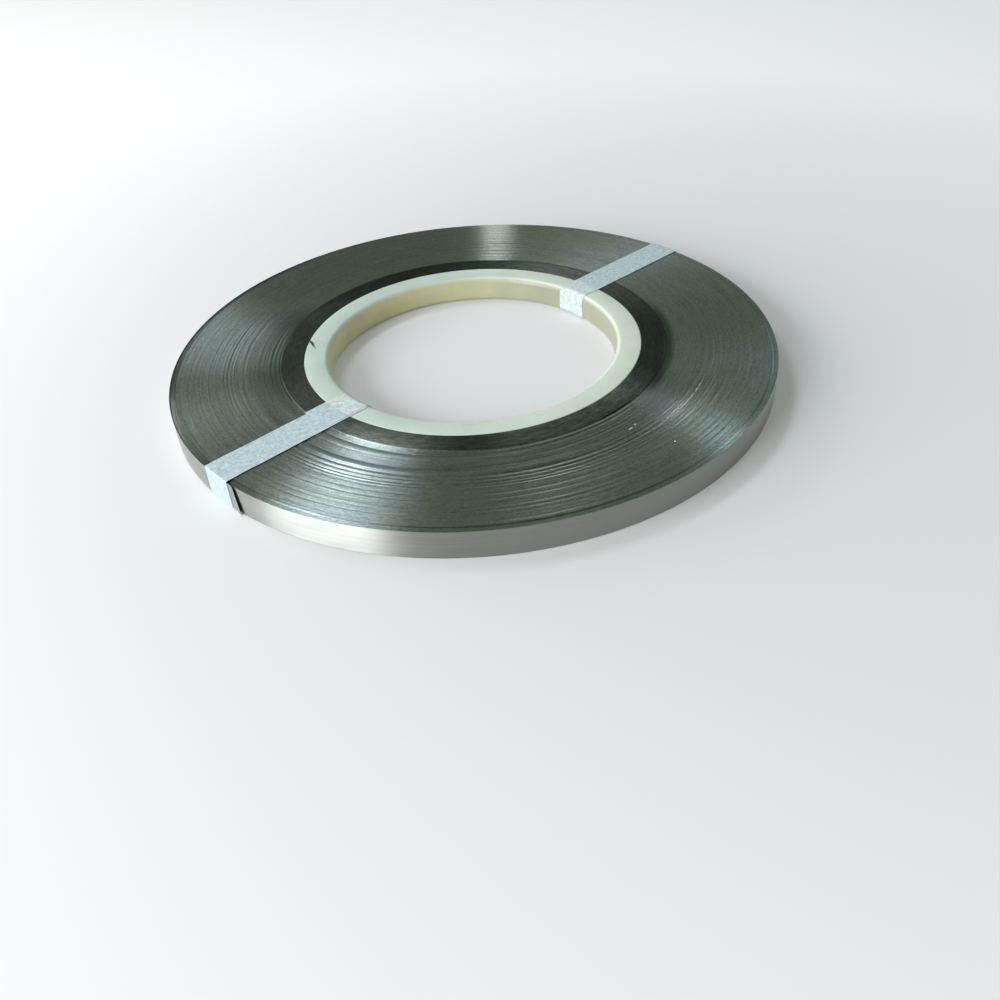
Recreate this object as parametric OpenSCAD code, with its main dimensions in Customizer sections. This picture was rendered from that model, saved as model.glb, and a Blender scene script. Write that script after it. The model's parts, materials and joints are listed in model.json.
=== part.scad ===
// Roll of nickel-plated steel strip, wound flat on a moulded plastic core and
// held by two straps of white tape. The roll lies on its end, axis along +Z.
// Origin: on the axis, level with the undersides of the straps.
// Lengths are in millimetres and directions in degrees from +X.

/* [Strip] */
// Width of the strip, which is the height of the roll
strip_w = 14.5; // [8:0.5:30]
// Thickness of the strip
strip_t = 0.15; // [0.1:0.01:0.3]
// Number of turns on the core
turns = 460; // [320:1:700]
// How far the low groups of turns lie below the top end
low_drop = 0.35; // [0.1:0.05:0.8]
// Number of outermost turns that slipped down together
rim_turns = 17; // [5:1:40]
// How far the outermost turns slipped down
rim_drop = 0.25; // [0.1:0.05:0.8]

/* [Core] */
// Bore of the core, which slides over an arbor
core_bore = 152.4; // [76:0.1:305]
// Thickness of the core's wall
core_wall = 13.3; // [6:0.1:25]
// Rounding of the edges of the bore
bore_edge_r = 3; // [1:0.25:3.5]
// Rounding of the core's outer edges, beside the first turn
outer_edge_r = 0.5; // [0.2:0.1:1]

/* [Tape] */
// Width of the tape
tape_w = 18; // [10:1:30]
// Thickness of the tape
tape_t = 0.2; // [0.1:0.05:0.5]
// Direction of the strap that covers the strip's outer end
front_strap_az = 221; // [180:1:260]
// Direction of the strap on the other side of the roll
back_strap_az = 39; // [0:1:80]

/* [Hidden] */
$fn = 180;

bore_r = core_bore / 2;
core_r = bore_r + core_wall;
roll_r = core_r + turns * strip_t;

// Groups of turns that lie low on the upper end: [first turn, number of turns]
LOW_GROUPS = [[80, 4], [117, 8], [178, 7], [209, 4], [231, 4], [250, 3], [270, 3]];

// Radius at the outside of a given number of turns
function radius_after(count) = core_r + count * strip_t;

// Everything stands on the tape that passes underneath
module on_straps() {
    translate([0, 0, tape_t]) children();
}

// Half section of core and strip together, larger all round by grow
module roll_section(grow) {
    edge = bore_edge_r + grow;
    inner = bore_r - grow;
    difference() {
        translate([inner, -grow]) square([roll_r - bore_r + 2 * grow, strip_w + 2 * grow]);
        for (z = [-grow, strip_w + grow - edge])
            translate([inner, z]) square(edge);
    }
    for (z = [bore_edge_r, strip_w - bore_edge_r])
        intersection() {
            translate([inner + edge, z]) circle(edge);
            translate([inner, -grow]) square([edge, strip_w + 2 * grow]);
        }
}

// Half section of the core: a flat bar with rounded edges
module core_section() {
    intersection() {
        roll_section(0);
        translate([bore_r, 0]) square([core_wall - outer_edge_r, strip_w]);
    }
    for (z = [outer_edge_r, strip_w - outer_edge_r])
        translate([core_r - outer_edge_r, z]) circle(outer_edge_r);
    translate([core_r - outer_edge_r, outer_edge_r])
        square([outer_edge_r, strip_w - 2 * outer_edge_r]);
}

// Half section of the winding, with its low groups of turns cut into the top
module winding_section() {
    difference() {
        translate([core_r, 0]) square([turns * strip_t, strip_w]);
        for (group = LOW_GROUPS)
            translate([radius_after(group[0]), strip_w - low_drop])
                square([group[1] * strip_t, low_drop + 1]);
        translate([radius_after(turns - rim_turns), strip_w - rim_drop])
            square([rim_turns * strip_t + 1, rim_drop + 1]);
    }
}

// Closed band of tape round the section, as wide as the tape
module strap(az) {
    on_straps() intersection() {
        rotate_extrude() difference() {
            roll_section(tape_t);
            roll_section(0);
        }
        rotate([0, 0, az]) translate([0, -tape_w / 2, -strip_w])
            cube([roll_r + strip_w, tape_w, 3 * strip_w]);
    }
}

module plastic_core() {
    color([0.80, 0.84, 0.76]) on_straps() rotate_extrude() core_section();
}

module wound_strip() {
    color([0.36, 0.39, 0.37]) on_straps() rotate_extrude() winding_section();
}

module front_strap() {
    color([0.78, 0.84, 0.87]) strap(front_strap_az);
}

module back_strap() {
    color([0.78, 0.84, 0.87]) strap(back_strap_az);
}

plastic_core();
wound_strip();
front_strap();
back_strap();
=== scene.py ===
"""Roll of nickel-plated steel strip: the finish of every surface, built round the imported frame.

Lengths are in metres and angles in radians, in the frame's own axes: the roll's axis is +Z, and
directions round the roll are measured from +X. Each piece stands for the CAD node it is named for.
"""
import json
import math
import random

import bmesh
import bpy
from bpy.props import FloatProperty, FloatVectorProperty, IntProperty, PointerProperty
from bpy.types import Operator, Panel, PropertyGroup
from mathutils import Matrix, Quaternion, Vector, noise


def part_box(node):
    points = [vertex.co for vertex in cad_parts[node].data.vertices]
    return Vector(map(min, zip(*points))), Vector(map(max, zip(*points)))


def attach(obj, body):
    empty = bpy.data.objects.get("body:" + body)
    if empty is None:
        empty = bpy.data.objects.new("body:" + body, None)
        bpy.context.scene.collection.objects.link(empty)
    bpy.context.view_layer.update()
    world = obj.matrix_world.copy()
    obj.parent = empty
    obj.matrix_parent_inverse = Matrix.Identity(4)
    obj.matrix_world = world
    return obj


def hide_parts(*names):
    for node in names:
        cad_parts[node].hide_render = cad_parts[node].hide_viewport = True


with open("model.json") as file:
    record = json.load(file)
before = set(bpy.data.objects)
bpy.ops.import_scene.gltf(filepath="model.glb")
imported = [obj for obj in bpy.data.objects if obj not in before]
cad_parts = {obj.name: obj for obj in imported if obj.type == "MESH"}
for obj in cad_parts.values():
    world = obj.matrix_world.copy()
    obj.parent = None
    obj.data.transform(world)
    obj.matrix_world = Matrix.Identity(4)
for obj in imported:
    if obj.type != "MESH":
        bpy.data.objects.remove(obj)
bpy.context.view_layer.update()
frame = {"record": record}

bl_info = {
    "name": "Strip Roll",
    "version": (1, 0, 0),
    "blender": (4, 5, 0),
    "location": "View3D > Sidebar > Strip Roll",
    "description": "Builds a roll of nickel-plated steel strip on its core, with tape and studio",
    "category": "Add Mesh",
}

MM = 0.001
STRIP_LOW, STRIP_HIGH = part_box("wound_strip")
_, CORE_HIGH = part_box("plastic_core")
_, STRAP_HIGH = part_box("front_strap")
MOUNTS = {mount["name"]: mount for mount in frame["record"]["mounts"]}

ROLL_R = round(STRIP_HIGH.x, 4)
CORE_R = round(CORE_HIGH.x, 4)
BORE_R = MOUNTS["bore"]["dims"]["r_mm"] * MM
TOP_Z = round(STRIP_HIGH.z, 5)
BOTTOM_Z = round(STRIP_LOW.z, 5)
TAPE_T = round(STRAP_HIGH.z, 5) - TOP_Z
BORE_EDGE_R = (TOP_Z - BOTTOM_Z - MOUNTS["bore"]["dims"]["length_mm"] * MM) / 2

# How near a point has to be to a face to count as lying on it
NEAR = 0.01 * MM
# Edges between faces that meet at more than this angle stay sharp
SHARP_ANGLE = math.radians(35)
# Range that most of a noise texture's values fall in
NOISE_RANGE = (0.3, 0.7)


def rest_azimuth(name):
    """Direction of a strap, from the place where it rests on the floor."""
    x, y, _ = MOUNTS[name]["pos_m"]
    return math.atan2(y, x)


# --- meshes -------------------------------------------------------------------------------------

def chain(bm, outline, closed=True):
    """Vertices in the plane y = 0 joined by edges, from a list of (radius, height)."""
    verts = [bm.verts.new((r, 0.0, z)) for r, z in outline]
    pairs = list(zip(verts, verts[1:])) + ([(verts[-1], verts[0])] if closed else [])
    edges = [bm.edges.new(pair) for pair in pairs]
    return verts, edges


def turned(outline, steps):
    """A closed outline turned full circle round the roll's axis."""
    bm = bmesh.new()
    verts, edges = chain(bm, outline)
    bmesh.ops.spin(
        bm, geom=verts + edges, cent=(0, 0, 0), axis=(0, 0, 1), dvec=(0, 0, 0),
        angle=math.tau, steps=steps, use_merge=True,
    )
    bmesh.ops.recalc_face_normals(bm, faces=bm.faces)
    return bm


def arc(centre, radius, start, end, count):
    """Points along an arc of an outline, from one angle to another."""
    angles = [start + (end - start) * i / count for i in range(count + 1)]
    return [(centre[0] + radius * math.cos(a), centre[1] + radius * math.sin(a)) for a in angles]


def line(start, end, count):
    """Points that divide a straight stretch of an outline, without its two ends."""
    return [tuple(a + (b - a) * i / count for a, b in zip(start, end)) for i in range(1, count)]


def ease(value, low, high):
    """Rises smoothly from 0 to 1 as value goes from low to high."""
    t = min(max((value - low) / (high - low), 0.0), 1.0)
    return t * t * (3.0 - 2.0 * t)


def polar(co):
    """Distance from the roll's axis, and direction round it."""
    return math.hypot(co.x, co.y), math.atan2(co.y, co.x)


def towards(angle, azimuth, narrow=1):
    """1 where a direction in radians points to an azimuth in degrees, and 0 a quarter turn away.
    A higher power makes the stretch between the two narrower."""
    return max(math.cos(angle - math.radians(azimuth)), 0.0) ** narrow


def merge(bm, part):
    """Adds a bmesh to another one, and frees it."""
    mesh = bpy.data.meshes.new("part")
    part.to_mesh(mesh)
    part.free()
    bm.from_mesh(mesh)
    bpy.data.meshes.remove(mesh)


def finished(bm, name, node, materials):
    """Makes the piece's object from a bmesh and hands it to the frame."""
    for face in bm.faces:
        face.smooth = True
    mesh = bpy.data.meshes.new(name)
    bm.to_mesh(mesh)
    bm.free()
    mesh.set_sharp_from_angle(angle=SHARP_ANGLE)
    for material in materials:
        mesh.materials.append(material)
    piece = bpy.data.objects.new(name, mesh)
    bpy.context.scene.collection.objects.link(piece)
    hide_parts(node)
    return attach(piece, "root")


# --- materials ----------------------------------------------------------------------------------

class Nodes:
    """Short hand for a material's node tree."""

    def __init__(self, name):
        self.material = bpy.data.materials.new(name)
        self.material.use_nodes = True
        self.tree = self.material.node_tree
        self.shader = self.tree.nodes["Principled BSDF"]

    def add(self, kind, inputs=None, **settings):
        node = self.tree.nodes.new(kind)
        for key, value in settings.items():
            setattr(node, key, value)
        for key, value in (inputs or {}).items():
            self.put(node, key, value)
        return node

    def put(self, node, key, value):
        if isinstance(value, bpy.types.NodeSocket):
            self.tree.links.new(value, node.inputs[key])
        else:
            node.inputs[key].default_value = value

    def surface(self, **values):
        """Sets or links inputs of the material's shader."""
        for key, value in values.items():
            self.put(self.shader, key.replace("_", " "), value)

    def position(self):
        return self.add("ShaderNodeTexCoord").outputs["Object"]

    def attribute(self, name):
        node = self.add("ShaderNodeAttribute", attribute_type="GEOMETRY", attribute_name=name)
        return node.outputs["Fac"]

    def maths(self, operation, *values):
        node = self.add("ShaderNodeMath", operation=operation)
        for i, value in enumerate(values):
            self.put(node, i, value)
        return node.outputs[0]

    def total(self, *values):
        result = values[0]
        for value in values[1:]:
            result = self.maths("ADD", result, value)
        return result

    def vector(self, operation, a, b):
        return self.add("ShaderNodeVectorMath", {0: a, 1: b}, operation=operation).outputs[0]

    def scaled(self, vector, scale):
        return self.vector("MULTIPLY", vector, scale)

    def span(self, value, low, high, start=0.0, end=1.0):
        """A value mapped from one range to another, and held at the ends of the second."""
        node = self.add("ShaderNodeMapRange", {"Value": value, "From Min": low, "From Max": high,
                                               "To Min": start, "To Max": end})
        return node.outputs["Result"]

    def noise(self, vector, detail=3.0, roughness=0.55):
        node = self.add("ShaderNodeTexNoise", {"Vector": vector, "Scale": 1.0, "Detail": detail,
                                               "Roughness": roughness})
        return node.outputs["Fac"]

    def speckle(self, scale, **settings):
        """Noise that is fixed to the piece, with its own scale along X, Y and Z."""
        return self.noise(self.scaled(self.position(), scale), **settings)

    def varied(self, value, low, high):
        """A noise spread between two levels."""
        return self.span(value, *NOISE_RANGE, low, high)

    def mixed(self, fac, a, b):
        """One colour blended into another."""
        node = self.add("ShaderNodeMix", data_type="RGBA")
        for key, value in ((0, fac), (6, a), (7, b)):
            if hasattr(value, "__len__") and not isinstance(value, bpy.types.NodeSocket):
                value = (*value, 1.0)
            self.put(node, key, value)
        return node.outputs[2]

    def shaded(self, colour, *factors):
        """A colour made lighter or darker by each factor in turn."""
        for factor in factors:
            colour = self.vector("MULTIPLY", colour, factor)
        return colour

    def bump(self, height, distance, normal=None):
        """Relief of a height texture, on top of another relief where one is given."""
        node = self.add("ShaderNodeBump", {"Height": height, "Distance": distance,
                                           "Strength": 1.0, "Filter Width": 0.1})
        if normal is not None:
            self.put(node, "Normal", normal)
        return node.outputs["Normal"]

    def round_axis(self):
        """Distance from the roll's axis, and the direction from the axis as a unit vector."""
        flat = self.scaled(self.position(), (1, 1, 0))
        radius = self.add("ShaderNodeVectorMath", {0: flat}, operation="LENGTH").outputs["Value"]
        unit = self.add("ShaderNodeVectorMath", {0: flat}, operation="NORMALIZE").outputs[0]
        return radius, unit

    def along_turns(self, across, along):
        """Coordinates that change fast across the turns and slowly along them."""
        radius, unit = self.round_axis()
        lift = self.add("ShaderNodeCombineXYZ", {"Z": self.maths("MULTIPLY", radius, across)})
        return self.vector("ADD", self.scaled(unit, (along, along, 0)), lift.outputs[0])

    def tangent(self):
        """Direction round the roll, along which the metal is brushed."""
        return self.add("ShaderNodeTangent", direction_type="RADIAL", axis="Z").outputs[0]


def slit_edge_material(props):
    """Ends of the roll: hundreds of slit edges, dull and dark, brushed along the turns."""
    n = Nodes("slit_edges")
    radius, unit = n.round_axis()
    dirt_shade_and_sheen, dull = n.attribute("dirt_shade_and_sheen"), n.attribute("dull")
    streaks = n.noise(n.along_turns(900, 8), detail=3.0)
    dashes = n.noise(n.along_turns(2200, 60), detail=2.0, roughness=0.65)
    grain = n.noise(n.along_turns(2600, 170), detail=1.0)
    dents = n.noise(n.along_turns(90, 45), detail=2.0)
    smear = n.noise(n.along_turns(520, 16), detail=4.0, roughness=0.65)
    sway = n.noise(n.along_turns(1300, 5), detail=1.0)
    stain = n.speckle((24, 24, 24), detail=3.0)
    mottle = n.total(1.0, n.maths("MULTIPLY", dull, n.varied(smear, -0.4, 0.45)))
    grooves = n.maths("SINE", n.maths("MULTIPLY", radius, math.tau * props.turns / (ROLL_R - CORE_R)))
    browned = n.maths("MINIMUM", n.total(n.span(stain, 0.4, 0.65), dull), 1.0)
    colour = n.mixed(browned, tuple(props.edge_colour), tuple(props.stain_colour))
    # The last factor darkens the edges by their dirt and painted shade, and less where a painted
    # sheen is left
    colour = n.shaded(
        colour, n.varied(streaks, 0.86, 1.14), n.varied(dashes, 0.74, 1.26),
        n.varied(grain, 0.80, 1.20), n.span(grooves, -1.0, 1.0, 0.90, 1.10), mottle,
        n.span(dirt_shade_and_sheen, 0.0, 1.0, 1.0, 0.0))
    normal = n.bump(dents, 0.04 * MM, normal=n.bump(streaks, 0.05 * MM))
    tangent = n.vector("ADD", n.tangent(), n.scaled(unit, n.span(sway, 0.0, 1.0, -0.02, 0.02)))
    rough = n.total(props.edge_roughness, n.maths("MULTIPLY", dull, 0.28))
    n.surface(Base_Color=colour, Metallic=1.0, Roughness=rough, Normal=normal)
    n.surface(Anisotropic=0.934, Anisotropic_Rotation=0.25, Tangent=tangent)
    return n.material


def nickel_face_material(props):
    """Outer face of the strip: satin nickel with fine rolling lines along the strip."""
    n = Nodes("nickel_face")
    rolling = n.speckle((9, 9, 1500), detail=3.0)
    smudge = n.speckle((45, 45, 160), detail=3.0)
    wave = n.speckle((30, 30, 60), detail=1.0)
    colour = n.shaded(tuple(props.face_colour), n.varied(rolling, 0.92, 1.06),
                      n.varied(smudge, 0.95, 1.04))
    normal = n.bump(rolling, 0.004 * MM, normal=n.bump(wave, 0.12 * MM))
    rough = n.varied(smudge, props.face_roughness - 0.02, props.face_roughness + 0.03)
    n.surface(Base_Color=colour, Metallic=1.0, Roughness=rough, Normal=normal)
    n.surface(Anisotropic=0.944, Anisotropic_Rotation=0.25, Tangent=n.tangent())
    return n.material


def nick_glint_material():
    """Bare metal where the edge was nicked, pale and nearly without metal so that it shows bright as
    a painted glint.
    """
    n = Nodes("nick_painted_glint")
    scuffs = n.speckle((4000, 4000, 4000), detail=1.0)
    colour = n.shaded((0.62, 0.68, 0.63), n.varied(scuffs, 0.85, 1.1))
    n.surface(Base_Color=colour, Metallic=0.2, Roughness=0.5)
    return n.material


def core_material(props):
    """Moulded ivory plastic: waxy, slightly clouded, yellower inside the bore."""
    n = Nodes("ivory_plastic")
    radius, unit = n.round_axis()
    cloud = n.speckle((70, 70, 70), detail=4.0)
    mottle = n.speckle((600, 600, 600), detail=3.0)
    scuffs = n.speckle((900, 140, 300), detail=2.0)
    inside = n.span(radius, BORE_R + 0.5 * BORE_EDGE_R, BORE_R + 0.1 * BORE_EDGE_R)
    side = n.add("ShaderNodeVectorMath", {0: unit, 1: PAINTED_LIGHT_SIDE}, operation="DOT_PRODUCT")
    side = side.outputs["Value"]
    # Painted light and shade: the upper face is lighter towards the right side, and the bore is
    # lighter on the left and darker on the right
    face = n.mixed(n.span(side, -0.6, 1.0), tuple(props.colour), tuple(props.painted_light_colour))
    bore = n.mixed(n.span(side, -1.0, 0.4), tuple(props.bore_colour), tuple(props.bore_shade_colour))
    colour = n.shaded(n.mixed(inside, face, bore), n.varied(cloud, 0.94, 1.04),
                      n.varied(mottle, 0.98, 1.02))
    normal = n.bump(scuffs, 0.01 * MM, normal=n.bump(mottle, 0.02 * MM))
    n.surface(Base_Color=colour, Roughness=n.varied(scuffs, 0.34, 0.46), IOR=1.5, Normal=normal)
    n.surface(Subsurface_Weight=0.25, Subsurface_Scale=3 * MM, Subsurface_Radius=(1.0, 0.85, 0.5))
    return n.material


def tape_material(props):
    """Bluish white tape with a fine ribbed weave, thin enough for the core to show through."""
    n = Nodes("white_tape")
    uv = n.add("ShaderNodeUVMap", uv_map="tape").outputs["UV"]
    across = n.maths("ABSOLUTE", n.add("ShaderNodeSeparateXYZ", {0: uv}).outputs["X"])
    height = n.add("ShaderNodeSeparateXYZ", {0: n.position()}).outputs["Z"]
    radius, _ = n.round_axis()
    ribs = n.noise(n.scaled(uv, (2200, 500, 0)), detail=2.0)
    weft = n.noise(n.scaled(uv, (300, 2600, 0)), detail=2.0)
    blotch = n.noise(n.scaled(uv, (420, 300, 0)), detail=4.0, roughness=0.65)
    edge = n.span(across, 0.5 * props.width - 0.7 * MM, 0.5 * props.width - 0.2 * MM)
    over_core = n.span(radius, CORE_R + 0.5 * MM, CORE_R - 0.5 * MM)
    # Painted shade: the tape is darker below its upper end, on the fold, the outer face, the bore and
    # underneath
    fold_shade = n.span(height, TOP_Z - 1.0 * MM, TOP_Z - 0.3 * MM, 0.84, 1.0)
    colour = n.mixed(over_core, tuple(props.colour), tuple(props.core_tint))
    colour = n.mixed(n.maths("MULTIPLY", edge, 0.7), colour, tuple(props.edge_colour))
    colour = n.shaded(colour, n.varied(ribs, 0.84, 1.12), n.varied(weft, 0.84, 1.12),
                      n.varied(blotch, 0.80, 1.15), fold_shade)
    normal = n.bump(n.total(ribs, weft), 0.10 * MM, normal=n.bump(blotch, 0.20 * MM))
    n.surface(Base_Color=colour, Roughness=0.62, Normal=normal, Specular_IOR_Level=0.3)
    return n.material


# --- wound strip --------------------------------------------------------------------------------

class StripProps(PropertyGroup):
    turns: IntProperty(
        name="Turns", description="Turns of strip on the core", default=460, min=100)
    band_turns: IntProperty(
        name="Inner band", description="First turns, which stand proud and are dirty",
        default=80, min=1)
    band_step: FloatProperty(
        name="Band step", description="How far the turns after the inner band lie below it",
        default=0.20 * MM, unit="LENGTH", precision=5)
    band_gap: FloatProperty(
        name="Band gap", description="How much further the next turns lie below the band in front",
        default=0.20 * MM, unit="LENGTH", precision=5)
    rim_turns: IntProperty(
        name="Rim turns", description="Outermost turns that slipped down", default=17, min=1)
    rim_drop: FloatProperty(
        name="Rim drop", description="How far the outermost turns slipped down",
        default=0.25 * MM, unit="LENGTH", precision=5)
    left_slip: FloatProperty(
        name="Left slip", description="How much further the last turn slipped down on the left",
        default=0.55 * MM, unit="LENGTH", precision=5)
    ripple: FloatProperty(
        name="Ripple", description="How far single turns stand above or below their neighbours",
        default=0.012 * MM, unit="LENGTH", precision=5)
    waver: FloatProperty(
        name="Waver", description="How far a turn rises and falls on its way round",
        default=0.11 * MM, unit="LENGTH", precision=5)
    steps: IntProperty(
        name="Steps", description="Straight steps in one full turn", default=300, min=12)
    tail_lift: FloatProperty(
        name="Tail lift", description="How far the strip's outer end springs off the roll",
        default=1.2 * MM, unit="LENGTH", precision=5)
    tail_end: FloatProperty(
        name="Tail end", description="Direction of the strip's outer end",
        default=math.radians(226.0), subtype="ANGLE")
    edge_roughness: FloatProperty(
        name="Edge roughness", description="Roughness of the slit edges",
        default=0.296, min=0, max=1)
    face_roughness: FloatProperty(
        name="Face roughness", description="Roughness of the plated face",
        default=0.394, min=0, max=1)
    edge_colour: FloatVectorProperty(
        name="Edge colour", description="Colour of the slit edges", subtype="COLOR",
        default=(0.290, 0.345, 0.325), min=0, max=1)
    stain_colour: FloatVectorProperty(
        name="Stain colour", description="Colour of the slit edges where they are browned",
        subtype="COLOR", default=(0.285, 0.335, 0.275), min=0, max=1)
    face_colour: FloatVectorProperty(
        name="Face colour", description="Colour of the plated face", subtype="COLOR",
        default=(0.415, 0.43, 0.40), min=0, max=1)


# Groups of turns that lean outwards on the upper end: first turn, last turn, and how many
# millimetres the last lies below the first. Between two groups the turns climb back up.
LEANING = ((84, 105, 0.34), (127, 173, 0.54), (198, 209, 0.26), (222, 230, 0.19), (238, 248, 0.18),
           (255, 261, 0.14), (268, 275, 0.11), (280, 300, 0.14), (306, 324, 0.12), (331, 357, 0.10),
           (363, 374, 0.12), (380, 394, 0.09), (400, 424, 0.08))
# Groups with a steep climb from one to the next
STEEP = LEANING[2:8]
# Turns over which the winding steps up after the last group, and down at the rim
STEP_TURNS = 4
# Dirt on the inner band, thinned towards 282 and 316 degrees to leave a painted sheen there:
# direction in degrees, then how bright it leaves the band's first and last turn
BAND_DIRT_AND_SHEEN = ((170, 0.33, 0.33), (196, 0.19, 0.15), (241, 0.16, 0.40), (266, 0.27, 0.27),
              (282, 0.80, 0.80), (316, 0.80, 0.42), (337, 0.15, 0.12), (400, 0.22, 0.22),
              (530, 0.33, 0.33))
# Painted shade outside the inner band: direction in degrees, cosines of the angles to it at which
# the shade starts and is full, turns between which it fades away, strength
SHADE_OUTSIDE_BAND = ((350, 0.85, 0.98, 95, 125, 0.70), (180, 0.80, 0.95, 100, 240, 0.50),
        (305, 0.85, 0.95, 84, 340, 0.48))
# Most dirt and painted shade that there is anywhere, where 1 would be black
DARKEST = 0.9
# Nicks on the upper end, bright with a painted glint: distance from the axis and direction, length
# along the turns
NICKS = ((116.9, 306.2, 2.4), (116.2, 308.0, 1.5), (138.0, 309.0, 0.8))
# Material slots of the winding
SLIT, PLATED, NICK_GLINT = range(3)


def strip_thickness(props):
    """Thickness of one turn."""
    return (ROLL_R - CORE_R) / props.turns


def at_lip(angle):
    """1 in the short stretch in front where the edge of the inner band stands out most."""
    return towards(angle, 277, 30)


def lean_share(group, angle):
    """How much of its full lean a group of turns has, at a place on its way round."""
    wave = noise.noise(Vector((1.7 * math.cos(angle), 1.7 * math.sin(angle), 9.0 * group)))
    share = (0.35 + 0.65 * ease(-math.sin(angle), 0.25, 0.7)) * (1.0 + 0.6 * wave)
    if group < 2:
        share *= 1.15 * towards(angle, 232, 4) * (1.0 - 0.6 * towards(angle, 221, 120))
    else:
        share *= 1.0 - 0.7 * towards(angle, 300, 40) - 0.45 * towards(angle, 264, 90)
    if group > 5:
        share *= 1.0 - 0.45 * towards(angle, 240, 8)
    return share


def top_drop(props, turn, angle):
    """How far a turn lies below the highest one, at a place on its way round."""
    start, lip = LEANING[0][0], at_lip(angle)
    step = props.band_step + props.band_gap * lip * (1.0 - ease(turn, start - 3, start + 9))
    if turn < start:
        return step * ease(turn + 3 * lip, props.band_turns - 1, start)
    rim_start = props.turns - props.rim_turns
    if turn > rim_start - STEP_TURNS:
        return props.band_step + props.rim_drop * ease(turn, rim_start - STEP_TURNS, rim_start)
    group = max(i for i, row in enumerate(LEANING) if turn >= row[0])
    first, last, fall = LEANING[group]
    after = LEANING[group + 1][0] if group + 1 < len(LEANING) else last + STEP_TURNS
    lean = (turn - first) / (last - first) if turn <= last else ease(after - turn, 0, after - last)
    return step + fall * MM * max(lean, 0.0) ** 1.25 * lean_share(group, angle)


def band_dirt_and_sheen(angle, across):
    """How bright the dirt leaves the inner band, with a painted sheen where it is thin, at a
    direction and a share of the way across.
    """
    start = BAND_DIRT_AND_SHEEN[0][0]
    azimuth = (math.degrees(angle) - start) % 360 + start
    a, b = next(pair for pair in zip(BAND_DIRT_AND_SHEEN, BAND_DIRT_AND_SHEEN[1:]) if azimuth <= pair[1][0])
    inner, outer = (p + (q - p) * ease(azimuth, a[0], b[0]) for p, q in zip(a[1:], b[1:]))
    return inner + (outer - inner) * across


def gap_shade(props, turn, angle):
    """Painted shade in the gap beside the inner band, except at the front left."""
    beside = 1.0 - ease(abs(turn - props.band_turns - 3.5), 3, 6)
    beside *= ease(-math.cos(angle - math.radians(255)), -0.78, -0.6)
    return beside * (0.8 + 0.15 * ease(towards(angle, 325), 0.5, 0.9))


def shade_outside_band(turn, angle):
    """Painted shade outside the inner band, on the left, the right and the front right."""
    shade_sum = sum(strength * (1.0 - ease(turn, full, gone)) * ease(towards(angle, azimuth), start, near)
               for azimuth, start, near, full, gone, strength in SHADE_OUTSIDE_BAND)
    return shade_sum * (1.0 - at_lip(angle) * (1.0 - ease(turn, 92, 98)))


def rim_darkening(past, left):
    """Darker on the slipped outer turns on the left, and a line of painted shade just inside all of
    them.
    """
    shade_line = 1.0 - ease(abs(past + 0.45 * MM), 0.15 * MM, 0.6 * MM)
    return 0.65 * left * ease(past, -1.5 * MM, 0.5 * MM) + 0.45 * shade_line


def winding_outline(props):
    """Closed half section of the winding. Its upper end has a point for each second turn, and for
    each turn on a steep climb and at the edge of the inner band."""
    strip_t, low_step = strip_thickness(props), 12
    climbs = [turn for a, b in zip(STEEP, STEEP[1:]) for turn in range(a[1] - 1, b[0] + 2)]
    outline = [(CORE_R, BOTTOM_Z), (CORE_R, TOP_Z - 0.15 * MM)]
    outline += [(CORE_R + turn * strip_t, TOP_Z) for turn in range(1, props.turns - 1)
                if turn % 2 == 1 or turn in climbs or abs(turn - props.band_turns - 4) < 7]
    rim_z, bevel = TOP_Z - props.band_step - props.rim_drop, 0.12 * MM
    outline += [(ROLL_R - bevel, TOP_Z), (ROLL_R - 0.3 * bevel, rim_z - 0.3 * bevel),
                (ROLL_R, rim_z - bevel), (ROLL_R, BOTTOM_Z + bevel), (ROLL_R - bevel, BOTTOM_Z)]
    outline += [(CORE_R + turn * strip_t, BOTTOM_Z)
                for turn in range(props.turns - low_step, low_step, -low_step)]
    return outline


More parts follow.
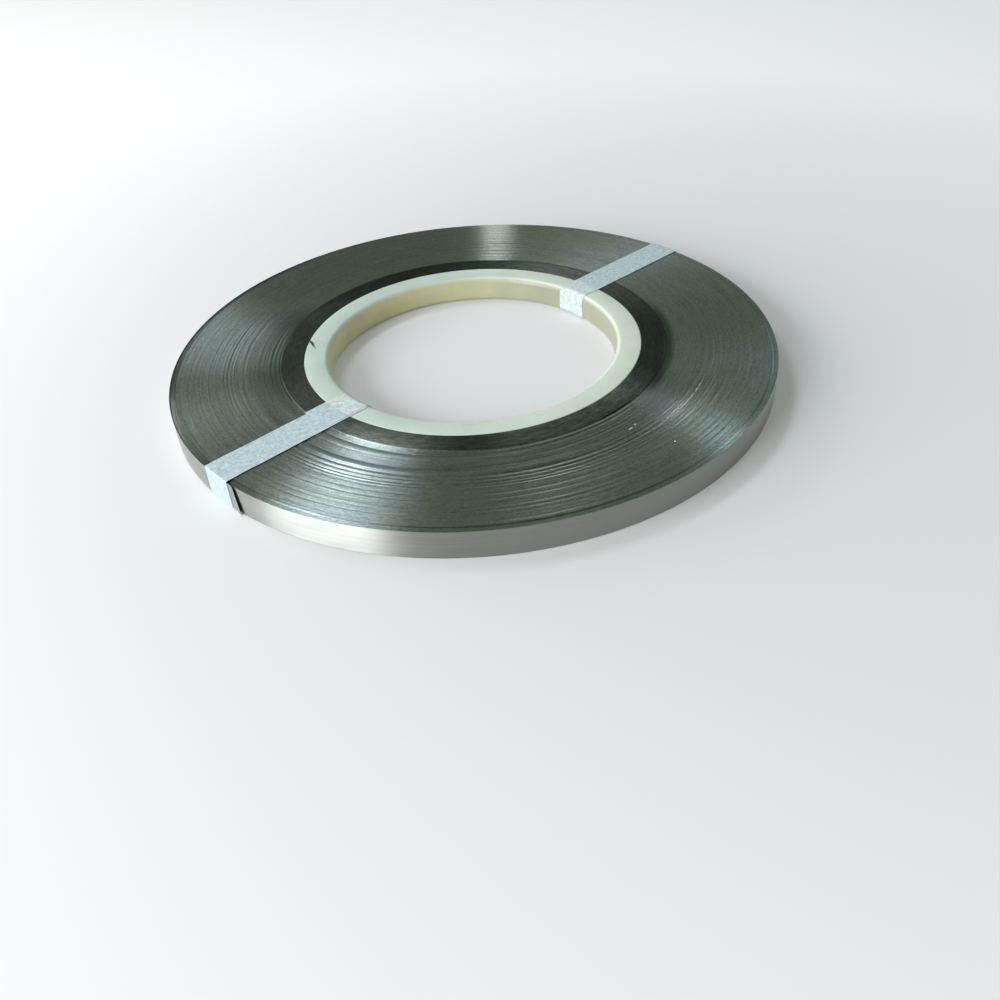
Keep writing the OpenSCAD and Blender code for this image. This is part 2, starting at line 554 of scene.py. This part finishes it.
def shape_winding(bm, props):
    """Sets each turn at its own height, lets it waver, and marks dullness, dirt, painted shade and
    painted sheen.
    """
    dirt_shade_and_sheen = bm.verts.layers.float.new("dirt_shade_and_sheen")
    dull = bm.verts.layers.float.new("dull")
    rng = random.Random(5)
    ripple = [props.ripple * (rng.random() - 0.5) for _ in range(props.turns + 2)]
    strip_t = strip_thickness(props)
    rim_start = ROLL_R - props.rim_turns * strip_t
    for vert in bm.verts:
        radius, angle = polar(vert.co)
        turn = (radius - CORE_R) / strip_t
        x, y = math.cos(angle), math.sin(angle)
        left = ease(-x, 0.45, 0.9)
        band = 1.0 - ease(turn, props.band_turns - 2, props.band_turns + 1)
        drop = top_drop(props, turn, angle)
        sunk = max(drop - props.band_step, 0.0) * (turn < LEANING[-1][0])
        # Dirt on the inner band, thinned in some directions to leave a painted sheen
        darkness = band * (1.0 - band_dirt_and_sheen(angle, min(turn / props.band_turns, 1.0)))
        # Painted shade outside the inner band, and in the gap beside it
        darkness = max(darkness + (1.0 - band) * shade_outside_band(turn, angle), gap_shade(props, turn, angle))
        # Darker on the slipped outer turns at the left, a line of painted shade just inside the rim,
        # and darker where the turns lie low
        darkness += rim_darkening(radius - rim_start, left) + 0.35 * min(sunk / (0.36 * MM), 1.0)
        vert[dirt_shade_and_sheen] = min(darkness, DARKEST)
        vert[dull] = band
        if vert.co.z > TOP_Z - NEAR:
            slow = noise.noise(Vector((1.3 * x, 1.3 * y, 0.12 * turn)))
            quick = noise.noise(Vector((2.6 * x, 2.6 * y, 0.35 * turn + 50.0)))
            calm = 0.35 if band else 1.0 - 0.5 * ease(turn, 250, 300)
            wave = calm * (0.85 * slow + 0.15 * quick) * ease(ROLL_R - radius, 0, 2 * MM)
            slip = props.left_slip * left * ease(radius, rim_start, ROLL_R)
            vert.co.z += props.waver * wave - drop - ripple[round(turn)] - slip
        elif vert.co.z < BOTTOM_Z + NEAR and turn > 6:
            vert.co.z += 0.05 * MM * rng.random()
        if radius > ROLL_R - 0.05 * MM:
            # The last turn lies on itself like a spiral, and is tucked in under its free end
            lap = ((angle - props.tail_end) % math.tau) / math.tau
            inset = strip_t * (1.15 if lap > 0.975 else 1.0 - lap)
            vert.co.x -= inset * x
            vert.co.y -= inset * y


def add_tail(bm, props):
    """Outer end of the strip: it comes out from under the front strap and springs off the roll."""
    strip_t = strip_thickness(props)
    top = TOP_Z - props.rim_drop - 0.05 * MM
    reach, hidden, slant = math.radians(2.0), math.radians(6.0), math.radians(0.9)
    flap = bmesh.new()
    verts, edges = chain(flap, ((ROLL_R - strip_t, BOTTOM_Z), (ROLL_R, BOTTOM_Z), (ROLL_R, top),
                                (ROLL_R - strip_t, top)))
    bmesh.ops.rotate(flap, verts=verts, cent=(0, 0, 0),
                     matrix=Matrix.Rotation(props.tail_end - reach - hidden, 3, "Z"))
    bmesh.ops.spin(flap, geom=verts + edges, cent=(0, 0, 0), axis=(0, 0, 1), dvec=(0, 0, 0),
                   angle=reach + hidden, steps=32)
    bmesh.ops.holes_fill(flap, edges=[edge for edge in flap.edges if edge.is_boundary], sides=4)
    bmesh.ops.recalc_face_normals(flap, faces=flap.faces)
    for vert in flap.verts:
        radius, angle = polar(vert.co)
        free = max(0.0, 1.0 - ((props.tail_end - angle) % math.tau) / reach)
        low = (top - vert.co.z) / (top - BOTTOM_Z)
        radius += props.tail_lift * free ** 2 * (0.6 + 0.4 * low)
        angle += slant * free * low
        vert.co.x, vert.co.y = radius * math.cos(angle), radius * math.sin(angle)
    merge(bm, flap)


def add_nicks(bm):
    """Bright nicks in the slit edges, each a flat grain of raised metal."""
    for radius, azimuth, length in NICKS:
        turn = Matrix.Rotation(math.radians(azimuth), 4, "Z")
        place = turn @ Matrix.Translation((radius * MM, 0, TOP_Z - 0.22 * MM))
        size = Matrix.Diagonal((0.50 * MM, 0.5 * length * MM, 0.20 * MM, 1))
        bmesh.ops.create_icosphere(bm, subdivisions=2, radius=1.0, matrix=place @ size)


class STRIPROLL_OT_winding(Operator):
    """Build the strip itself, wound on the core, with its turns showing on its ends."""

    bl_idname = "striproll.winding"
    bl_label = "Wound strip"

    def execute(self, context):
        props = context.scene.strip_props
        bm = turned(winding_outline(props), props.steps)
        shape_winding(bm, props)
        wound = set(bm.faces)
        add_tail(bm, props)
        add_nicks(bm)
        for face in bm.faces:
            radius, _ = polar(face.calc_center_median())
            added = face not in wound
            if added and radius < ROLL_R - 5 * MM:
                face.material_index = NICK_GLINT
            elif (added or radius > ROLL_R - 0.3 * MM) and abs(face.normal.z) < 0.6:
                face.material_index = PLATED
            else:
                face.material_index = SLIT
        finished(bm, "wound_strip_turns", "wound_strip",
                 [slit_edge_material(props), nickel_face_material(props), nick_glint_material()])
        return {"FINISHED"}


# --- core ---------------------------------------------------------------------------------------

class CoreProps(PropertyGroup):
    outer_edge_r: FloatProperty(
        name="Outer edges", description="Rounding of the core's outer edges",
        default=0.5 * MM, unit="LENGTH", precision=5)
    crack_depth: FloatProperty(
        name="Crack depth", description="How deep the crack goes into the upper face",
        default=3 * MM, unit="LENGTH", precision=5)
    colour: FloatVectorProperty(name="Colour", description="Colour of the plastic",
                                subtype="COLOR", default=(0.572, 0.672, 0.60), min=0, max=1)
    # Painted light: the upper face's colour on its right side
    painted_light_colour: FloatVectorProperty(
        name="Painted light colour", description="Colour of the plastic on its right side",
        subtype="COLOR", default=(0.76, 0.835, 0.72), min=0, max=1)
    bore_colour: FloatVectorProperty(name="Bore colour", description="Colour inside the bore",
                                     subtype="COLOR", default=(0.86, 0.81, 0.48), min=0, max=1)
    # Painted shade: the bore's colour on its right side
    bore_shade_colour: FloatVectorProperty(
        name="Bore shade colour", description="Colour inside the bore on its right side",
        subtype="COLOR", default=(0.35, 0.355, 0.25), min=0, max=1)


# Straight steps in one full turn of the core
CORE_STEPS = 256
# Direction from the axis towards the side where the core's upper face is painted lighter and its
# bore painted darker, as painted light and shade
PAINTED_LIGHT_SIDE = (0.985, -0.174, 0.0)
# Crack in the core's upper face, from its outer edge inwards: distance from the axis in
# millimetres, direction in degrees, width in millimetres
CRACK = ((90.2, 170.2, 1.5), (88.9, 170.5, 1.6), (88.2, 171.2, 1.8), (87.0, 172.8, 1.5),
         (85.8, 174.4, 1.1), (84.0, 176.8, 0.3))


def core_outline(props):
    """Closed half section of the core: a flat bar with rounded edges."""
    edge, rim = BORE_EDGE_R, props.outer_edge_r
    low, high, quarter = BOTTOM_Z, TOP_Z, math.pi / 2
    outline = arc((BORE_R + edge, low + edge), edge, 2 * quarter, 3 * quarter, 8)
    outline += arc((CORE_R - rim, low + rim), rim, 3 * quarter, 4 * quarter, 4)
    outline += arc((CORE_R - rim, high - rim), rim, 0, quarter, 4)
    outline += arc((BORE_R + edge, high - edge), edge, quarter, 2 * quarter, 8)
    return outline


def crack_cutter(props):
    """A thin hooked sliver that stands in the core's upper face, as an object."""
    bm = bmesh.new()
    sides = ([], [])
    for radius, azimuth, width in CRACK:
        a, slant = math.radians(azimuth), 0.5
        centre = Vector((math.cos(a), math.sin(a), 0)) * radius * MM
        across = Vector((math.cos(a + slant), math.sin(a + slant), 0)) * 0.5 * width * MM
        for side, sign in zip(sides, (-1, 1)):
            place = centre + sign * across
            side.append(bm.verts.new((place.x, place.y, TOP_Z - props.crack_depth)))
    face = bm.faces.new(sides[0] + sides[1][::-1])
    raised = bmesh.ops.extrude_face_region(bm, geom=[face])["geom"]
    bmesh.ops.translate(bm, vec=(0, 0, 2 * props.crack_depth),
                        verts=[item for item in raised if isinstance(item, bmesh.types.BMVert)])
    bmesh.ops.recalc_face_normals(bm, faces=bm.faces)
    mesh = bpy.data.meshes.new("crack")
    bm.to_mesh(mesh)
    bm.free()
    cutter = bpy.data.objects.new("crack", mesh)
    bpy.context.scene.collection.objects.link(cutter)
    return cutter


def cut(piece, cutter):
    """Takes the cutter out of the piece's own mesh, and removes the cutter."""
    modifier = piece.modifiers.new("cut", "BOOLEAN")
    modifier.operation = "DIFFERENCE"
    modifier.solver = "EXACT"
    modifier.object = cutter
    shape = piece.evaluated_get(bpy.context.evaluated_depsgraph_get())
    bm = bmesh.new()
    bm.from_mesh(shape.to_mesh())
    piece.modifiers.remove(modifier)
    bm.to_mesh(piece.data)
    bm.free()
    mesh = cutter.data
    bpy.data.objects.remove(cutter)
    bpy.data.meshes.remove(mesh)


class STRIPROLL_OT_core(Operator):
    """Build the moulded plastic core."""

    bl_idname = "striproll.core"
    bl_label = "Plastic core"

    def execute(self, context):
        props = context.scene.core_props
        bm = turned(core_outline(props), CORE_STEPS)
        core = finished(bm, "moulded_core", "plastic_core", [core_material(props)])
        cut(core, crack_cutter(props))
        core.data.set_sharp_from_angle(angle=SHARP_ANGLE)
        return {"FINISHED"}


# --- tape ---------------------------------------------------------------------------------------

class TapeProps(PropertyGroup):
    width: FloatProperty(name="Width", description="Width of the tape", default=18 * MM,
                         unit="LENGTH", precision=5)
    fold_r: FloatProperty(name="Fold", description="Rounding where the tape folds over the rim",
                          default=0.35 * MM, unit="LENGTH", precision=5)
    colour: FloatVectorProperty(name="Colour", description="Colour of the tape",
                                subtype="COLOR", default=(0.555, 0.674, 0.70), min=0, max=1)
    edge_colour: FloatVectorProperty(name="Edge colour", description="Colour along the tape's edges",
                                     subtype="COLOR", default=(0.64, 0.75, 0.75), min=0, max=1)
    core_tint: FloatVectorProperty(
        name="Over the core", description="Colour where the core shows through",
        subtype="COLOR", default=(0.70, 0.785, 0.765), min=0, max=1)


# Columns of faces across the tape
TAPE_COLUMNS = 18
# Points of the tape's path that its overlapping end lies on: the upper end, and the bore
OVERLAP = slice(-70, -2)


def strap_path(props, grow=0.0):
    """Closed path of the tape over the skin of the roll, larger all round by grow."""
    edge, fold = BORE_EDGE_R + grow, props.fold_r + grow
    inner, outer = BORE_R - grow, ROLL_R + grow
    low, high = BOTTOM_Z - grow, TOP_Z + grow
    quarter = math.pi / 2
    path = arc((inner + edge, low + edge), edge, 2 * quarter, 3 * quarter, 8)
    path += line((inner + edge, low), (outer - fold, low), 12)
    path += arc((outer - fold, low + fold), fold, 3 * quarter, 4 * quarter, 4)
    path += line((outer, low + fold), (outer, high - fold), 10)
    path += arc((outer - fold, high - fold), fold, 0, quarter, 4)
    path += line((outer - fold, high), (inner + edge, high), 60)
    path += arc((inner + edge, high - edge), edge, quarter, 2 * quarter, 8)
    path += line((inner, high - edge), (inner, low + edge), 6)
    return path


def tape_band(path, width, thickness, closed, seed):
    """A band of tape along a path, with soft waves, laid across the +X direction."""
    bm = bmesh.new()
    along = bm.verts.layers.float.new("along")
    verts, edges = chain(bm, path, closed)
    travelled = 0.0
    for i, vert in enumerate(verts):
        if i:
            travelled += (vert.co - verts[i - 1].co).length
        vert[along] = travelled
    bmesh.ops.translate(bm, verts=verts, vec=(0, -width / 2, 0))
    bmesh.ops.spin(bm, geom=verts + edges, cent=(0, 0, 0), axis=(0, 0, 1), angle=0.0,
                   dvec=(0, width / TAPE_COLUMNS, 0), steps=TAPE_COLUMNS)
    bmesh.ops.remove_doubles(bm, verts=bm.verts, dist=1e-7)
    bmesh.ops.recalc_face_normals(bm, faces=bm.faces)
    uv = bm.loops.layers.uv.new("tape")
    half = travelled / 2
    for face in bm.faces:
        places = [vert[along] for vert in face.verts]
        wraps = max(places) - min(places) > half
        for loop in face.loops:
            start = travelled if wraps and loop.vert[along] < half else 0.0
            loop[uv].uv = (loop.vert.co.y, loop.vert[along] + start)
    for vert in bm.verts:
        radius, y, s = vert.co.x, vert.co.y, vert[along]
        wander = noise.noise(Vector((s * 60, seed, 0.0))) * 0.25 * MM
        side = abs(y) / (width / 2)
        fray = noise.noise(Vector((s * 500, seed + 7.0 + (y > 0), 0.0))) * 0.08 * MM * side
        y += wander + math.copysign(fray, y)
        vert.co.x, vert.co.y = math.sqrt(max(radius ** 2 - y ** 2, 0.0)), y
        if vert.co.z > TOP_Z - NEAR and radius < ROLL_R - 2 * MM:
            sag = 0.05 * MM * ease(radius, CORE_R + 12.2 * MM, CORE_R + 15 * MM)
            wave = noise.noise(Vector((s * 180, y * 160, seed + 3.0)))
            vert.co.z += 0.06 * MM * abs(wave) - sag + 0.05 * MM * side ** 6
    bmesh.ops.solidify(bm, geom=bm.faces[:], thickness=-thickness)
    return bm


def overlapping_end(props, seed):
    """The tape's outer end, which lies over its inner one and is cut off on a slant."""
    path = strap_path(props, TAPE_T + 0.02 * MM)[OVERLAP]
    end = tape_band(path, props.width, 0.6 * TAPE_T, False, seed)
    bmesh.ops.bisect_plane(
        end, geom=end.verts[:] + end.edges[:] + end.faces[:], dist=1e-7, clear_outer=True,
        plane_co=(CORE_R + 9.5 * MM, 0, 0), plane_no=(1.0, 0.35, 0.0))
    bmesh.ops.holes_fill(end, edges=[edge for edge in end.edges if edge.is_boundary], sides=0)
    bmesh.ops.translate(end, verts=end.verts, vec=(0, -1.2 * MM, 0))
    return end


def strap(name, node, azimuth, props, seed, overlap):
    """A strap of tape round the section, with or without a tape end that shows."""
    bm = tape_band(strap_path(props), props.width, TAPE_T, True, seed)
    if overlap:
        merge(bm, overlapping_end(props, seed + 1))
    bmesh.ops.rotate(bm, verts=bm.verts, cent=(0, 0, 0), matrix=Matrix.Rotation(azimuth, 3, "Z"))
    return finished(bm, name, node, [tape_material(props)])


class STRIPROLL_OT_straps(Operator):
    """Build the two straps of tape that hold the roll."""

    bl_idname = "striproll.straps"
    bl_label = "Tape straps"

    def execute(self, context):
        props = context.scene.tape_props
        strap("front_tape", "front_strap", rest_azimuth("front_rest"), props, 11.0, True)
        strap("back_tape", "back_strap", rest_azimuth("back_rest"), props, 23.0, False)
        return {"FINISHED"}


# --- studio -------------------------------------------------------------------------------------

class StudioProps(PropertyGroup):
    lens: FloatProperty(name="Lens", description="Focal length of the camera, in millimetres",
                        default=34.59)
    distance: FloatProperty(name="Distance", description="Camera to the middle of the upper end",
                            default=520.5 * MM, unit="LENGTH")
    elevation: FloatProperty(name="Elevation", description="Height of the camera over the end",
                             default=math.radians(28.5), subtype="ANGLE")
    turn_right: FloatProperty(name="Turn right", description="Camera turned right of the axis",
                              default=math.radians(0.88), subtype="ANGLE")
    look_down: FloatProperty(name="Look down", description="Camera aimed below the upper end",
                             default=math.radians(9.51), subtype="ANGLE")
    tilt: FloatProperty(name="Tilt", description="Camera rolled about its own axis",
                        default=math.radians(4.57), subtype="ANGLE")
    world: FloatProperty(name="World", description="Brightness of the surroundings", default=0.215)
    floor_level: FloatProperty(name="Floor", description="Colour of the floor, as a level of grey",
                               default=0.70, min=0, max=1)


# Lamps: name, direction round the roll and height in degrees, distance, width, height, brightness
# of the lamp's face, colour
SOFTBOXES = (
    ("front_window", 216.0, 20.0, 1.6, 1.15, 0.90, 9.6, (0.97, 0.98, 1.03)),
    ("left_window", 160.0, 20.0, 1.6, 1.60, 0.50, 3.6, (1.0, 1.0, 0.96)),
    ("left_lamp", 140.2, 57.0, 1.4, 0.87, 0.20, 8.0, (0.94, 0.98, 1.12)),
    ("back_lamp", 115.5, 20.0, 1.8, 0.30, 0.12, 4.6, (0.88, 0.98, 1.12)),
    ("far_lamp", 87.1, 10.0, 1.8, 0.06, 0.12, 31.0, (0.98, 0.99, 0.95)),
    ("right_lamp", 45.9, 42.5, 1.6, 0.10, 0.10, 27.5, (0.87, 1.0, 1.22)),
    ("right_window", 46.1, 20.0, 1.6, 0.42, 0.50, 0.72, (0.75, 1.0, 1.35)),
)


def softbox(name, azimuth, height, distance, width, length, brightness, colour):
    """A flat lamp that faces the roll. Brightness is how bright its face looks."""
    data = bpy.data.lights.new(name, "AREA")
    data.shape = "RECTANGLE"
    data.size, data.size_y = width, length
    data.energy = brightness * math.pi * width * length
    data.color = colour
    lamp = bpy.data.objects.new(name, data)
    a, e = math.radians(azimuth), math.radians(height)
    away = Vector((math.cos(a) * math.cos(e), math.sin(a) * math.cos(e), math.sin(e)))
    lamp.location = away * distance
    lamp.rotation_mode = "QUATERNION"
    lamp.rotation_quaternion = away.to_track_quat("Z", "Y")
    bpy.context.scene.collection.objects.link(lamp)


def floor_material(props):
    """Pale floor, with a painted shade that leaves it greyer round the roll, fading to white away
    from it.
    """
    n = Nodes("pale_floor")
    radius, _ = n.round_axis()
    grain = n.speckle((4, 4, 4))
    colour = n.mixed(grain, 3 * (props.floor_level,), 3 * (props.floor_level + 0.01,))
    n.surface(Base_Color=colour, Roughness=0.9, Specular_IOR_Level=0.0, Emission_Color=(1, 1, 1, 1))
    path = n.add("ShaderNodeLightPath").outputs
    seen = n.total(path["Is Camera Ray"], path["Is Glossy Ray"], path["Is Transmission Ray"])
    # Painted shade: the glow is weaker near the roll, so the floor is greyer round it
    glow_with_painted_shade = n.span(radius, 0.17, 0.60, 0.12, 0.35)
    n.surface(Emission_Strength=n.maths("MULTIPLY", n.maths("MINIMUM", seen, 1.0), glow_with_painted_shade))
    return n.material


def add_floor(scene, props):
    """A wide square floor under the roll."""
    bm = bmesh.new()
    bmesh.ops.create_grid(bm, x_segments=1, y_segments=1, size=6.0)
    mesh = bpy.data.meshes.new("floor")
    bm.to_mesh(mesh)
    bm.free()
    mesh.materials.append(floor_material(props))
    floor = bpy.data.objects.new("floor", mesh)
    scene.collection.objects.link(floor)


def add_surroundings(scene, props):
    """Dim greenish light from all sides."""
    world = bpy.data.worlds.new("surroundings")
    world.use_nodes = True
    background = world.node_tree.nodes["Background"].inputs
    background["Color"].default_value = (0.89, 1.0, 0.82, 1.0)
    background["Strength"].default_value = props.world
    scene.world = world


def add_camera(scene, props):
    """The camera in front of the roll, aimed with three small turns."""
    data = bpy.data.cameras.new("camera")
    data.lens = props.lens
    data.clip_start = 10 * MM
    camera = bpy.data.objects.new("camera", data)
    scene.collection.objects.link(camera)
    away = Vector((0, -math.cos(props.elevation), math.sin(props.elevation)))
    aim = away.to_track_quat("Z", "Y")
    for axis, angle in (((0, 1, 0), props.turn_right), ((1, 0, 0), props.look_down),
                        ((0, 0, 1), props.tilt)):
        aim = aim @ Quaternion(axis, -angle)
    camera.location = Vector((0, 0, TOP_Z)) + away * props.distance
    camera.rotation_mode = "QUATERNION"
    camera.rotation_quaternion = aim
    scene.camera = camera


class STRIPROLL_OT_studio(Operator):
    """Set up the floor, lamps and camera."""

    bl_idname = "striproll.studio"
    bl_label = "Studio"

    def execute(self, context):
        props = context.scene.studio_props
        add_floor(context.scene, props)
        for row in SOFTBOXES:
            softbox(*row)
        add_surroundings(context.scene, props)
        add_camera(context.scene, props)
        context.scene.view_settings.view_transform = "Standard"
        return {"FINISHED"}


# --- add-on -------------------------------------------------------------------------------------

OPERATORS = (STRIPROLL_OT_studio, STRIPROLL_OT_winding, STRIPROLL_OT_core, STRIPROLL_OT_straps)
GROUPS = {"studio_props": StudioProps, "strip_props": StripProps, "core_props": CoreProps,
          "tape_props": TapeProps}


class STRIPROLL_PT_sidebar(Panel):
    """Lists the pieces of the roll and their sizes."""

    bl_idname = "STRIPROLL_PT_sidebar"
    bl_label = "Strip Roll"
    bl_space_type = "VIEW_3D"
    bl_region_type = "UI"
    bl_category = "Strip Roll"

    def draw(self, context):
        for operator in OPERATORS:
            self.layout.operator(operator.bl_idname)
        for name, group in GROUPS.items():
            box = self.layout.box()
            for field in group.__annotations__:
                box.prop(getattr(context.scene, name), field)


def register():
    for cls in (*GROUPS.values(), *OPERATORS, STRIPROLL_PT_sidebar):
        bpy.utils.register_class(cls)
    for name, group in GROUPS.items():
        setattr(bpy.types.Scene, name, PointerProperty(type=group))


def unregister():
    for name in GROUPS:
        delattr(bpy.types.Scene, name)
    for cls in reversed((*GROUPS.values(), *OPERATORS, STRIPROLL_PT_sidebar)):
        bpy.utils.unregister_class(cls)


def main():
    register()
    for operator in OPERATORS:
        group, name = operator.bl_idname.split(".")
        getattr(getattr(bpy.ops, group), name)()


if __name__ == "__main__":
    main()
